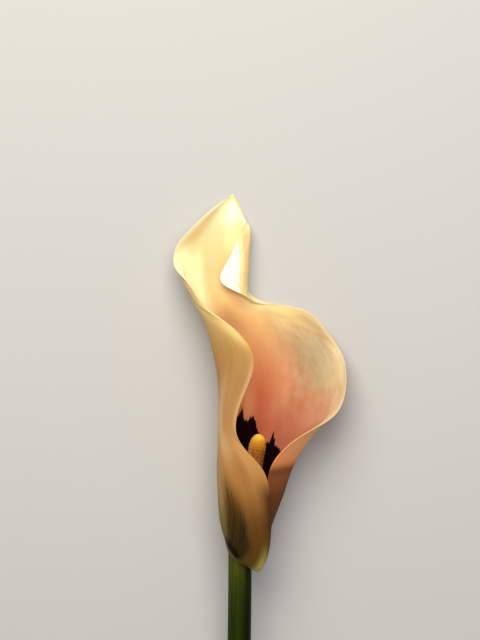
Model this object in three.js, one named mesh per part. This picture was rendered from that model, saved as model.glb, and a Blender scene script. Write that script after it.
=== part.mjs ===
// A cut calla lily flower that lies on its back: one spathe, rolled round a spadix of florets, on a smooth stem.
// X points right across the bloom, Y along it from the stem to the tip and Z up. Lengths are in millimetres.
import * as THREE from "three";

// Driving dimensions.
const SPATHE_LENGTH = 121;
const SPATHE_THICKNESS = 1.0;
const MARGIN_THICKNESS = 0.7;
const MARGIN_WIDTH = 0.12; // share of the spathe's width over which it thins towards a margin
const STEM_LENGTH = 111; // from the middle of the spathe's foot to the cut end
const STEM_DIAMETER = 7.5;
const NECK_DIAMETER = 6.6; // where the stem passes into the spathe's foot
const SHOULDER_LENGTH = 2.5; // over which the stem widens below the foot
const SPADIX_LENGTH = 38;
const SPADIX_DIAMETER = 5.8;
const SPADIX_FOOT_DIAMETER = 4.2;
const SPADIX_DOME = 4.8; // length of its round top
const FLORET_HEIGHT = 0.3;
const FLORET_PITCH = 1.1; // from one row of florets to the next
const FLORETS_AROUND = 8;
const SEAT_GAP = 0.3; // between one node and the next

// The spathe is drawn as a net of points, in units of its own that count from the middle of its foot.
const NET_SPAN = 378;
const UNIT = SPATHE_LENGTH / NET_SPAN;
const FLOOR = -51.5 * UNIT;
const STEM_TOP = 8 * UNIT;
const STEM_DRIFT = -8 * UNIT; // how far the cut end lies to the side of the foot
const SPADIX_AIM = new THREE.Vector3(19.5, 118, 2).normalize();

// Moves the middle of the flower's underside to the origin.
const ORIGIN_SHIFT = new THREE.Vector3(-6.4, -3.3, -FLOOR);

// Triangles: steps along and across the spathe, rings at the stem's neck and below it, sides of the rods.
const SPATHE_ROWS = 42;
const SPATHE_COLUMNS = 36;
const NECK_RINGS = 9;
const NECK_SHARE = 0.08; // of the stem's length
const STEM_RINGS = 20;
const STEM_SIDES = 24;
const RINGS_PER_FLORET = 3;
const SPADIX_SIDES = 3 * FLORETS_AROUND;

const COLOURS = { stem: 0x4a5a16, spathe: 0xf2b47c, spadix: 0xe0a030 };

// The foot of the spathe is a ring round the stem, open at the front right. Its edge rises towards the left.
const FOOT_RADIUS = 13;
const FOOT_LOW = -6; // how far along the edge's lowest place lies
const FOOT_RISE = 14;
const FOOT_TURNS = [-38, -75, -112, -149, -186, -223, -260, -292, -323, -354, -385];

// Each row runs across the blade as [right, along, up]: from the outer margin, at the front of the tube,
// round the left side and the back to the inner margin. The rows go from just above the foot towards the tip.
const SPATHE_ROWS_OF_POINTS = [
  // The tube, where the outer margin overlaps the inner one.
  [[18.5, -10.5, 11], [15, -6, 16], [3, 2, 19.5], [-9, 11, 14], [-13.5, 17, 1], [-11, 17, -12],
    [1, 13, -17.5], [12, 9, -15], [19.5, 5, -6], [20.5, 2, 2], [16, 0, 8.5]],
  [[29, 11.5, 12], [25, 23, 18], [11, 30, 23.5], [-5, 35, 20], [-18, 38, 5], [-13, 39, -13],
    [2, 38, -22], [16, 36, -20], [26.5, 33, -11], [29, 30, 0], [24, 26, 10]],
  [[30.5, 55, 18], [23, 58, 22.5], [9, 63, 25.5], [-8, 67, 20.5], [-20.5, 69, 4], [-15, 69, -15],
    [4, 69, -27], [22, 68, -25], [36, 66, -14], [41.5, 64, -1], [28, 59, 13.5]],
  [[22, 92, 22], [12, 95.5, 25], [-1, 99, 25], [-14, 101, 16], [-21.5, 102, 0], [-14, 102, -19],
    [8, 102, -33], [30, 101, -31], [47, 100, -19], [53.5, 98, -3], [31, 94, 17]],
  // The mouth, with the rolled left margin and the broad right lobe.
  [[-2.5, 123, 22], [-8, 127, 19], [-14.5, 130, 14], [-19.5, 132.5, 4], [-19, 135, -10], [-7, 136, -28],
    [16, 137, -39], [40, 136, -36], [62, 134, -24], [76, 131, -6], [62, 125, 14]],
  [[3, 163, 30], [-3, 167, 26], [-11, 170, 20], [-17, 172, 8], [-20, 173.5, -8], [-7, 175, -30],
    [20, 176, -44], [46, 175, -44], [72, 171, -35], [93, 164, -20], [99.5, 150, -4]],
  [[13.5, 201, 37], [6, 207, 33], [-5, 210, 25], [-18, 212, 11], [-27, 214, -6], [-15, 215, -30],
    [14, 216, -46], [43, 214, -48], [70, 210, -43], [93, 203, -33], [106, 194, -20]],
  [[-7, 231.5, 27], [-17, 238, 21], [-29, 243, 12], [-38, 247, 1], [-37.5, 249.5, -16], [-23, 250, -33],
    [5, 247, -44], [28, 242, -49], [50, 236, -51], [71, 230, -47], [93, 222, -38]],
  [[-35.5, 253, 12], [-42, 257, 6], [-46, 262, -1], [-48.5, 264.5, -9], [-42, 266.5, -24], [-24, 268, -36],
    [-4, 265, -43], [14, 258, -46], [30, 250.5, -49], [47.5, 247.5, -51], [62.5, 251, -49]],
  // The narrow upper part, whose inner margin curls forward over the blade.
  [[-48, 270.5, -2.5], [-52.5, 275, -8.5], [-56, 279.5, -15], [-53, 281, -22], [-41, 283, -33], [-24, 283, -40],
    [-8, 280, -43.5], [1.5, 275, -43.8], [6, 269.5, -43], [9, 264, -42.5], [19.5, 256.5, -44]],
  [[-56, 281, -10.5], [-57.5, 285.5, -16.5], [-57, 288.5, -22], [-51.5, 290, -28.5], [-38.5, 291, -37],
    [-22.5, 291, -42], [-7.5, 288.5, -44.3], [1.5, 284, -41.5], [6.3, 278, -36], [6.3, 270.5, -31],
    [2.5, 265.5, -29]],
  [[-65.5, 293, -18], [-61.5, 296, -23], [-57, 298, -28], [-49, 299, -34], [-36, 300, -40], [-21, 300, -44],
    [-7, 298, -45], [3.5, 294, -40], [7.5, 288, -31], [-1, 281, -27], [-18.5, 277.5, -30]],
  [[-65, 311, -26], [-59.5, 313, -30], [-52, 315, -35], [-43, 317, -40], [-32, 319, -44], [-20, 320, -46],
    [-8, 320, -46], [3, 317, -43], [9, 312, -35], [4, 306, -28], [-10.5, 303, -28]],
  [[-55.5, 325, -31], [-47, 328, -36], [-39, 331, -40], [-31, 333, -44], [-22, 335, -46.5], [-14, 337, -48],
    [-5, 338, -48], [3, 337, -46], [8.5, 332, -42], [9, 328.5, -37], [1, 327, -31]],
  [[-30, 350.5, -40], [-26.5, 350, -43], [-22.5, 350.5, -45.5], [-18.5, 351.5, -47.5], [-14, 352, -49],
    [-9, 352.5, -49.5], [-5, 352, -50], [-1, 350.5, -49.5], [1.5, 347.5, -48.5], [4.5, 341.5, -46.5],
    [7, 335, -42]],
];

// The tip is a small arch.
const TIP = { right: -7, along: 367, up: -51, halfWidth: 2.5, rise: 3 };
const POINTS_ACROSS = FOOT_TURNS.length;

const clamp = THREE.MathUtils.clamp;

/** How far along the flower the foot's edge lies at a place to the right of its middle. */
function footAlong(right) {
  return FOOT_LOW + FOOT_RISE * ((FOOT_RADIUS - right) / (2 * FOOT_RADIUS)) ** 3;
}

/** The foot's row of the net: points on a ring round the stem. */
function footRow() {
  return FOOT_TURNS.map((turn) => {
    const angle = THREE.MathUtils.degToRad(turn);
    const right = FOOT_RADIUS * Math.cos(angle);
    return [right, footAlong(right), -FOOT_RADIUS * Math.sin(angle)];
  });
}

/** The tip's row of the net: points on a small arch. */
function tipRow() {
  return Array.from({ length: POINTS_ACROSS }, (_, i) => {
    const across = (2 * i) / (POINTS_ACROSS - 1) - 1;
    return [TIP.right + TIP.halfWidth * across, TIP.along - TIP.rise * across * across, TIP.up];
  });
}

const NET = [footRow(), ...SPATHE_ROWS_OF_POINTS, tipRow()];

/** A natural cubic spline through values at knots, as a function of the parameter. */
function naturalSpline(knots, values) {
  const last = knots.length - 1;
  const bends = new Array(last + 1).fill(0);
  const ratios = new Array(last + 1).fill(0);
  for (let i = 1; i < last; i++) {
    const before = knots[i] - knots[i - 1];
    const after = knots[i + 1] - knots[i];
    const turn = 6 * ((values[i + 1] - values[i]) / after - (values[i] - values[i - 1]) / before);
    const pivot = 2 * (before + after) - before * ratios[i - 1];
    ratios[i] = after / pivot;
    bends[i] = (turn - before * bends[i - 1]) / pivot;
  }
  for (let i = last - 1; i > 0; i--) {
    bends[i] -= ratios[i] * bends[i + 1];
  }
  return (t) => {
    let i = 0;
    while (i < last - 1 && t > knots[i + 1]) {
      i++;
    }
    const step = knots[i + 1] - knots[i];
    const right = (t - knots[i]) / step;
    const left = 1 - right;
    const sag = (left ** 3 - left) * bends[i] + (right ** 3 - right) * bends[i + 1];
    return left * values[i] + right * values[i + 1] + (step * step * sag) / 6;
  };
}

/** A spline through [x, y, z] points, which gives [x, y, z]. */
function pointSpline(knots, points) {
  const parts = [0, 1, 2].map((axis) => naturalSpline(knots, points.map((point) => point[axis])));
  return (t) => parts.map((part) => part(t));
}

/** Knots from 0 to 1 that suit several lines of points: the mean root of the distance from point to point. */
function sharedKnots(lines) {
  const distance = (a, b) => Math.hypot(...a.map((value, axis) => value - b[axis]));
  const knots = [0];
  for (let i = 1; i < lines[0].length; i++) {
    const steps = lines.map((line) => Math.sqrt(distance(line[i], line[i - 1])));
    knots.push(knots[i - 1] + steps.reduce((sum, step) => sum + step, 0) / lines.length);
  }
  return knots.map((knot) => knot / knots[knots.length - 1]);
}

/** The spathe's middle surface: a function of along (0 foot, 1 tip) and then across (0 outer, 1 inner margin). */
function spatheSurface() {
  const columns = NET[0].map((_, column) => NET.map((row) => row[column]));
  const alongKnots = sharedKnots(columns);
  const acrossKnots = sharedKnots(NET.slice(0, -1));
  const columnSplines = columns.map((column) => pointSpline(alongKnots, column));
  return (along) => {
    const row = columnSplines.map((spline) => spline(along));
    const across = pointSpline(acrossKnots, row);
    return (t) => new THREE.Vector3(...across(t)).multiplyScalar(UNIT);
  };
}

/** The blade's thickness, which falls towards the foot, the tip and both margins. */
function bladeThickness(along, across) {
  const nearest = Math.min(along, 1 - along, across, 1 - across);
  const share = THREE.MathUtils.smoothstep(nearest, 0, MARGIN_WIDTH);
  return MARGIN_THICKNESS + (SPATHE_THICKNESS - MARGIN_THICKNESS) * share;
}

/** Both faces of the spathe on one grid. The underside is flattened where it rests on the floor. */
function spatheFaces() {
  const surface = spatheSurface();
  const nudge = 1e-4;
  const inner = [];
  const outer = [];
  for (let j = 0; j < SPATHE_ROWS; j++) {
    const along = j / (SPATHE_ROWS - 1);
    const row = surface(along);
    const rowBefore = surface(along - nudge);
    const rowAfter = surface(along + nudge);
    for (let i = 0; i < SPATHE_COLUMNS; i++) {
      const across = i / (SPATHE_COLUMNS - 1);
      const thickness = bladeThickness(along, across);
      const acrossWay = row(across + nudge).sub(row(across - nudge));
      const alongWay = rowAfter(across).sub(rowBefore(across));
      const offset = acrossWay.cross(alongWay).setLength(thickness / 2);
      const middle = row(across);
      const upper = middle.clone().add(offset);
      const lower = middle.clone().sub(offset);
      lower.z = Math.max(lower.z, FLOOR);
      upper.z = Math.max(upper.z, FLOOR + MARGIN_THICKNESS);
      inner.push(upper);
      outer.push(lower);
    }
  }
  return { inner, outer };
}

/** A closed geometry from points and triangles. */
function closedGeometry(points, triangles) {
  const geometry = new THREE.BufferGeometry().setFromPoints(points);
  geometry.setIndex(triangles);
  geometry.computeVertexNormals();
  return geometry;
}

/** Two triangles for a four-sided patch whose corners run anticlockwise seen from outside. */
function patch(a, b, c, d) {
  return [a, b, c, a, c, d];
}

/** The spathe: two faces split into triangles alike, joined by narrow strips round the edge. */
function spatheGeometry() {
  const { inner, outer } = spatheFaces();
  const innerAt = (row, column) => row * SPATHE_COLUMNS + column;
  const outerAt = (row, column) => inner.length + innerAt(row, column);
  const top = SPATHE_ROWS - 1;
  const end = SPATHE_COLUMNS - 1;
  const triangles = [];
  for (let j = 0; j < top; j++) {
    for (let i = 0; i < end; i++) {
      triangles.push(...patch(innerAt(j, i), innerAt(j, i + 1), innerAt(j + 1, i + 1), innerAt(j + 1, i)));
      const [a, b, c, d] = [outerAt(j, i), outerAt(j, i + 1), outerAt(j + 1, i + 1), outerAt(j + 1, i)];
      triangles.push(a, c, b, a, d, c);
    }
    triangles.push(...patch(innerAt(j, 0), innerAt(j + 1, 0), outerAt(j + 1, 0), outerAt(j, 0)));
    triangles.push(...patch(innerAt(j, end), outerAt(j, end), outerAt(j + 1, end), innerAt(j + 1, end)));
  }
  for (let i = 0; i < end; i++) {
    triangles.push(...patch(innerAt(0, i), outerAt(0, i), outerAt(0, i + 1), innerAt(0, i + 1)));
    triangles.push(...patch(innerAt(top, i), innerAt(top, i + 1), outerAt(top, i + 1), outerAt(top, i)));
  }
  return closedGeometry([...inner, ...outer], triangles);
}

/**
 * A rod along a path, closed at both ends, with a ring at each of the given shares of its length. Its radius
 * depends on the distance from its start and the angle round it, which counts from the right.
 */
function rodGeometry(path, radiusAt, shares, sides) {
  const rings = shares.length - 1;
  const length = path.getLength();
  const points = [];
  const triangles = [];
  for (let j = 0; j <= rings; j++) {
    const centre = path.getPointAt(shares[j]);
    const heading = path.getTangentAt(shares[j]);
    const side = new THREE.Vector3(1, 0, 0).addScaledVector(heading, -heading.x).normalize();
    const up = heading.clone().cross(side);
    for (let i = 0; i < sides; i++) {
      const angle = (2 * Math.PI * (i + 0.5)) / sides;
      const radius = radiusAt(length * shares[j], angle);
      const point = centre.clone();
      point.addScaledVector(side, radius * Math.cos(angle));
      point.addScaledVector(up, radius * Math.sin(angle));
      point.z = Math.max(point.z, FLOOR);
      points.push(point);
    }
  }
  const startCentre = points.push(path.getPointAt(0)) - 1;
  const endCentre = points.push(path.getPointAt(1)) - 1;
  const lastRing = rings * sides;
  for (let i = 0; i < sides; i++) {
    const next = (i + 1) % sides;
    for (let j = 0; j < lastRing; j += sides) {
      triangles.push(...patch(j + i, j + next, j + sides + next, j + sides + i));
    }
    triangles.push(startCentre, next, i);
    triangles.push(endCentre, lastRing + i, lastRing + next);
  }
  return closedGeometry(points, triangles);
}

/** Shares from 0 to 1 in even steps. */
function evenShares(steps) {
  return Array.from({ length: steps + 1 }, (_, i) => i / steps);
}

/**
 * The stem: straight in the spathe's foot, then bowed down until its cut end lies on the floor. It is narrower
 * inside the foot, down to the foot's edge.
 */
function stemGeometry() {
  const rest = FLOOR + STEM_DIAMETER / 2 - 0.1;
  const path = new THREE.CubicBezierCurve3(
    new THREE.Vector3(0, STEM_TOP, 0),
    new THREE.Vector3(0, -STEM_LENGTH * 0.32, 0),
    new THREE.Vector3(STEM_DRIFT * 0.6, -STEM_LENGTH * 0.62, rest),
    new THREE.Vector3(STEM_DRIFT, -STEM_LENGTH, rest),
  );
  const radiusAt = (distance, angle) => {
    const footEnd = STEM_TOP - footAlong(FOOT_RADIUS * Math.cos(angle)) * UNIT + SEAT_GAP;
    const share = THREE.MathUtils.smoothstep(distance, footEnd, footEnd + SHOULDER_LENGTH);
    return (NECK_DIAMETER + (STEM_DIAMETER - NECK_DIAMETER) * share) / 2;
  };
  const neck = evenShares(NECK_RINGS).map((share) => share * NECK_SHARE);
  const below = evenShares(STEM_RINGS).map((share) => NECK_SHARE + share * (1 - NECK_SHARE));
  return rodGeometry(path, radiusAt, [...neck, ...below.slice(1)], STEM_SIDES);
}

/** The spadix: a leaning rod with a long round top, covered with staggered florets. */
function spadixGeometry() {
  const foot = new THREE.Vector3(0, STEM_TOP + SEAT_GAP, 0);
  const top = foot.clone().addScaledVector(SPADIX_AIM, SPADIX_LENGTH);
  const smallest = SPADIX_DIAMETER / 12;
  const radiusAt = (distance, angle) => {
    const widening = THREE.MathUtils.smoothstep(distance, 0, SPADIX_LENGTH / 2);
    const full = (SPADIX_FOOT_DIAMETER + (SPADIX_DIAMETER - SPADIX_FOOT_DIAMETER) * widening) / 2;
    const intoDome = clamp((distance - SPADIX_LENGTH + SPADIX_DOME) / SPADIX_DOME, 0, 1);
    const roundness = Math.sqrt(1 - intoDome * intoDome);
    const bump = Math.cos(FLORETS_AROUND * angle) * Math.cos((Math.PI * distance) / FLORET_PITCH);
    const body = (full - FLORET_HEIGHT / 2) * roundness;
    return Math.max(body + (FLORET_HEIGHT / 2) * bump * Math.min(1, 2 * roundness), smallest);
  };
  const rings = Math.round((RINGS_PER_FLORET * SPADIX_LENGTH) / (2 * FLORET_PITCH));
  return rodGeometry(new THREE.LineCurve3(foot, top), radiusAt, evenShares(rings), SPADIX_SIDES);
}

/** A named node of the flower, moved to the part's frame. */
function node(name, geometry) {
  geometry.translate(ORIGIN_SHIFT.x, ORIGIN_SHIFT.y, ORIGIN_SHIFT.z);
  const material = new THREE.MeshStandardMaterial({ color: COLOURS[name], roughness: 0.6 });
  const mesh = new THREE.Mesh(geometry, material);
  mesh.name = name;
  return mesh;
}

const flower = new THREE.Group();
flower.name = "calla_lily_flower";
flower.add(node("stem", stemGeometry()));
flower.add(node("spathe", spatheGeometry()));
flower.add(node("spadix", spadixGeometry()));

export default flower;
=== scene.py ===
"""A cut calla lily flower that lies on its back, seen from above.

The flower has three pieces: a spathe (one large petal-like leaf, rolled into a tube at its foot), a spadix of tiny
florets inside it, and a smooth stem. X points right across the bloom, Y from the stem to the tip and Z up.
Every surface is worked out with numpy as a function of two parameters on a grid.
"""

import logging
import math
from dataclasses import dataclass
from enum import Enum

import bpy
import numpy as np
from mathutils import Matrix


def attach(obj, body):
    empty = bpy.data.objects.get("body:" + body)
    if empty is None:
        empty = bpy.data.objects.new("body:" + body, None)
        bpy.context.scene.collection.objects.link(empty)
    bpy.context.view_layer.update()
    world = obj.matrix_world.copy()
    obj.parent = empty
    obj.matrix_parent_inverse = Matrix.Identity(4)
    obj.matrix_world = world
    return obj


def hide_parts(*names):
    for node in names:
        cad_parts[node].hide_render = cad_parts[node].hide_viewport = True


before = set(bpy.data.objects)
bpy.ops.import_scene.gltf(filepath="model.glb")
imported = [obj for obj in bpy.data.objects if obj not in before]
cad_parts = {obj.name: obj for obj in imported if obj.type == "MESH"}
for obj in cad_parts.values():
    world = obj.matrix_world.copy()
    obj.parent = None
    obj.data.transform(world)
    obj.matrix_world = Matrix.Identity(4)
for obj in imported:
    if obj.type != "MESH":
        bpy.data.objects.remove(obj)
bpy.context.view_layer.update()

log = logging.getLogger("calla_lily")

NOISE_GROUP = "stretched_noise"

MM = 0.001
SPATHE_LENGTH = 121 * MM
NET_SPAN = 378
UNIT = SPATHE_LENGTH / NET_SPAN  # one unit of the spathe's net, in metres
FLOOR = -51.5 * UNIT  # height of the floor under the middle of the spathe's foot
ORIGIN_SHIFT = np.array([-6.4 * MM, -3.3 * MM, -FLOOR])

FOOT_RADIUS = 13
FOOT_LOW = -6
FOOT_RISE = 14
# The angles round the stem, in degrees, of the net's columns at the foot.
FOOT_TURNS = (-38, -75, -112, -149, -186, -223, -260, -292, -323, -354, -385)

# Each row runs across the blade as (right, along, up), in net units from the middle of the foot: from the outer
# margin, at the front of the tube, round the left side and the back to the inner margin.
SPATHE_ROWS = (
    # The tube, where the outer margin overlaps the inner one.
    ((18.5, -10.5, 11), (15, -6, 16), (3, 2, 19.5), (-9, 11, 14), (-13.5, 17, 1), (-11, 17, -12),
     (1, 13, -17.5), (12, 9, -15), (19.5, 5, -6), (20.5, 2, 2), (16, 0, 8.5)),
    ((29, 11.5, 12), (25, 23, 18), (11, 30, 23.5), (-5, 35, 20), (-18, 38, 5), (-13, 39, -13),
     (2, 38, -22), (16, 36, -20), (26.5, 33, -11), (29, 30, 0), (24, 26, 10)),
    ((30.5, 55, 18), (23, 58, 22.5), (9, 63, 25.5), (-8, 67, 20.5), (-20.5, 69, 4), (-15, 69, -15),
     (4, 69, -27), (22, 68, -25), (36, 66, -14), (41.5, 64, -1), (28, 59, 13.5)),
    ((22, 92, 22), (12, 95.5, 25), (-1, 99, 25), (-14, 101, 16), (-21.5, 102, 0), (-14, 102, -19),
     (8, 102, -33), (30, 101, -31), (47, 100, -19), (53.5, 98, -3), (31, 94, 17)),
    # The mouth, with the rolled left margin and the broad right lobe.
    ((-2.5, 123, 22), (-8, 127, 19), (-14.5, 130, 14), (-19.5, 132.5, 4), (-19, 135, -10), (-7, 136, -28),
     (16, 137, -39), (40, 136, -36), (62, 134, -24), (76, 131, -6), (62, 125, 14)),
    ((3, 163, 30), (-3, 167, 26), (-11, 170, 20), (-17, 172, 8), (-20, 173.5, -8), (-7, 175, -30),
     (20, 176, -44), (46, 175, -44), (72, 171, -35), (93, 164, -20), (99.5, 150, -4)),
    ((13.5, 201, 37), (6, 207, 33), (-5, 210, 25), (-18, 212, 11), (-27, 214, -6), (-15, 215, -30),
     (14, 216, -46), (43, 214, -48), (70, 210, -43), (93, 203, -33), (106, 194, -20)),
    ((-7, 231.5, 27), (-17, 238, 21), (-29, 243, 12), (-38, 247, 1), (-37.5, 249.5, -16), (-23, 250, -33),
     (5, 247, -44), (28, 242, -49), (50, 236, -51), (71, 230, -47), (93, 222, -38)),
    ((-35.5, 253, 12), (-42, 257, 6), (-46, 262, -1), (-48.5, 264.5, -9), (-42, 266.5, -24), (-24, 268, -36),
     (-4, 265, -43), (14, 258, -46), (30, 250.5, -49), (47.5, 247.5, -51), (62.5, 251, -49)),
    # The narrow upper part, whose inner margin curls forward over the blade.
    ((-48, 270.5, -2.5), (-52.5, 275, -8.5), (-56, 279.5, -15), (-53, 281, -22), (-41, 283, -33), (-24, 283, -40),
     (-8, 280, -43.5), (1.5, 275, -43.8), (6, 269.5, -43), (9, 264, -42.5), (19.5, 256.5, -44)),
    ((-56, 281, -10.5), (-57.5, 285.5, -16.5), (-57, 288.5, -22), (-51.5, 290, -28.5), (-38.5, 291, -37),
     (-22.5, 291, -42), (-7.5, 288.5, -44.3), (1.5, 284, -41.5), (6.3, 278, -36), (6.3, 270.5, -31),
     (2.5, 265.5, -29)),
    ((-65.5, 293, -18), (-61.5, 296, -23), (-57, 298, -28), (-49, 299, -34), (-36, 300, -40), (-21, 300, -44),
     (-7, 298, -45), (3.5, 294, -40), (7.5, 288, -31), (-1, 281, -27), (-18.5, 277.5, -30)),
    ((-65, 311, -26), (-59.5, 313, -30), (-52, 315, -35), (-43, 317, -40), (-32, 319, -44), (-20, 320, -46),
     (-8, 320, -46), (3, 317, -43), (9, 312, -35), (4, 306, -28), (-10.5, 303, -28)),
    ((-55.5, 325, -31), (-47, 328, -36), (-39, 331, -40), (-31, 333, -44), (-22, 335, -46.5), (-14, 337, -48),
     (-5, 338, -48), (3, 337, -46), (8.5, 332, -42), (9, 328.5, -37), (1, 327, -31)),
    ((-30, 350.5, -40), (-26.5, 350, -43), (-22.5, 350.5, -45.5), (-18.5, 351.5, -47.5), (-14, 352, -49),
     (-9, 352.5, -49.5), (-5, 352, -50), (-1, 350.5, -49.5), (1.5, 347.5, -48.5), (4.5, 341.5, -46.5), (7, 335, -42)),
)
TIP_RIGHT, TIP_ALONG, TIP_UP, TIP_HALF_WIDTH, TIP_RISE = -7, 367, -51, 2.5, 3

Colour = tuple[float, float, float, float]
ScreenColour = tuple[int, int, int]
Stops = tuple[tuple[float, Colour], ...]
Limits = tuple[float, float]
Socket = bpy.types.NodeSocket


def srgb(red: int, green: int, blue: int) -> Colour:
    """Turn a screen colour into the linear colour that a shader takes.

    Args:
        red: Red from 0 to 255.
        green: Green from 0 to 255.
        blue: Blue from 0 to 255.

    Returns:
        Linear red, green and blue, and full alpha.
    """
    parts = (value / 255 for value in (red, green, blue))
    linear = [part / 12.92 if part <= 0.04045 else ((part + 0.055) / 1.055) ** 2.4 for part in parts]
    return (*linear, 1.0)


def tones(*rows: tuple[float, int, int, int]) -> Stops:
    """Turn rows of a place and a screen colour into the stops of a ramp."""
    return tuple((place, srgb(*colour)) for place, *colour in rows)


def levels(*pairs: tuple[float, float]) -> Stops:
    """Turn pairs of a place and a value into the grey stops of a ramp."""
    return tuple((place, (value, value, value, 1.0)) for place, value in pairs)


def smoothstep(value: np.ndarray) -> np.ndarray:
    """Ease a value from 0 to 1: 3 t^2 - 2 t^3, clamped."""
    share = np.clip(value, 0, 1)
    return share * share * (3 - 2 * share)


def foot_along(right: np.ndarray) -> np.ndarray:
    """Give how far along the foot's edge lies, in net units: it rises with the cube of the way to the left."""
    return FOOT_LOW + FOOT_RISE * ((FOOT_RADIUS - right) / (2 * FOOT_RADIUS)) ** 3


def shared_knots(lines: np.ndarray) -> np.ndarray:
    """Space knots for several lines of points.

    Each step is the mean, over the lines, of the root of the distance from one point to the next.

    Args:
        lines: Points as (line, point, axis).

    Returns:
        Knots from 0 to 1, one for each point of a line.
    """
    steps = np.sqrt(np.linalg.norm(np.diff(lines, axis=1), axis=2)).mean(0)
    knots = np.concatenate([[0.0], np.cumsum(steps)])
    return knots / knots[-1]


def spline_weights(knots: np.ndarray, at: np.ndarray) -> np.ndarray:
    """Work out the weights of a natural cubic spline.

    The second derivatives M solve h0 M0 + 2 (h0 + h1) M1 + h1 M2 = 6 (slope1 - slope0) at each inner knot, and are
    zero at both ends. Between two knots the value is the straight line plus (l^3 - l) and (r^3 - r) times M h^2 / 6.

    Args:
        knots: Increasing knots.
        at: Parameters to evaluate at.

    Returns:
        One row of weights over the knots for each parameter.
    """
    count = len(knots)
    gaps = np.diff(knots)
    bends = np.eye(count)
    slopes = np.zeros((count, count))
    inner = np.arange(1, count - 1)
    bends[inner, inner] = 2 * (gaps[:-1] + gaps[1:])
    bends[inner, inner - 1] = gaps[:-1]
    bends[inner, inner + 1] = gaps[1:]
    slopes[inner, inner - 1] = 6 / gaps[:-1]
    slopes[inner, inner] = -6 / gaps[:-1] - 6 / gaps[1:]
    slopes[inner, inner + 1] = 6 / gaps[1:]
    second = np.linalg.solve(bends, slopes)
    span = np.clip(np.searchsorted(knots, at, side="right") - 1, 0, count - 2)
    gap = gaps[span][:, None]
    right = (at - knots[span])[:, None] / gap
    left = 1 - right
    one = np.eye(count)
    sag = (left**3 - left) * second[span] + (right**3 - right) * second[span + 1]
    return left * one[span] + right * one[span + 1] + sag * gap**2 / 6


def grid_quads(index: np.ndarray) -> np.ndarray:
    """List the four-sided faces of a grid of point numbers. They turn from across to along."""
    return np.stack([index[:-1, :-1], index[:-1, 1:], index[1:, 1:], index[1:, :-1]], axis=-1).reshape(-1, 4)


def add_object(name: str, data: bpy.types.ID) -> bpy.types.Object:
    """Make an object at the origin and link it to the scene.

    Args:
        name: The object's name.
        data: Its mesh, light or camera.

    Returns:
        The new object.
    """
    new = bpy.data.objects.new(name, data)
    bpy.context.scene.collection.objects.link(new)
    return new


def mesh_piece(
    name: str,
    points: np.ndarray,
    faces: list[list[int]],
    uv: np.ndarray,
    materials: list[bpy.types.Material],
    face_slots: np.ndarray | None = None,
    attributes: dict[str, np.ndarray] | None = None,
) -> bpy.types.Object:
    """Make a smooth-shaded object from arrays.

    Args:
        name: The piece's name.
        points: Places in metres, in the flower's frame.
        faces: The corners of each face.
        uv: The pattern's place for each point.
        materials: The finished materials, in the order of their slots.
        face_slots: Material slot for each face.
        attributes: Named values for each point, such as the height of a relief.

    Returns:
        The new object, at the origin, linked to the scene.
    """
    mesh = bpy.data.meshes.new(name)
    mesh.from_pydata(points.tolist(), [], faces)
    mesh.polygons.foreach_set("use_smooth", np.ones(len(faces), bool))
    if face_slots is not None:
        mesh.polygons.foreach_set("material_index", face_slots.astype(np.int32))
    layer = mesh.uv_layers.new(name="pattern")
    corners = np.empty(len(mesh.loops), np.int32)
    mesh.loops.foreach_get("vertex_index", corners)
    layer.data.foreach_set("uv", uv[corners].astype(np.float32).ravel())
    for label, values in (attributes or {}).items():
        mesh.attributes.new(label, "FLOAT", "POINT").data.foreach_set("value", values.astype(np.float32))
    for material in materials:
        mesh.materials.append(material)
    mesh.update()
    return add_object(name, mesh)


class Grain(Enum):
    """Kinds of noise, by how far to each side of its middle the noise is stretched to fill 0 to 1."""

    STREAKS = 0.2
    MOTTLE = 0.25


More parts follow.
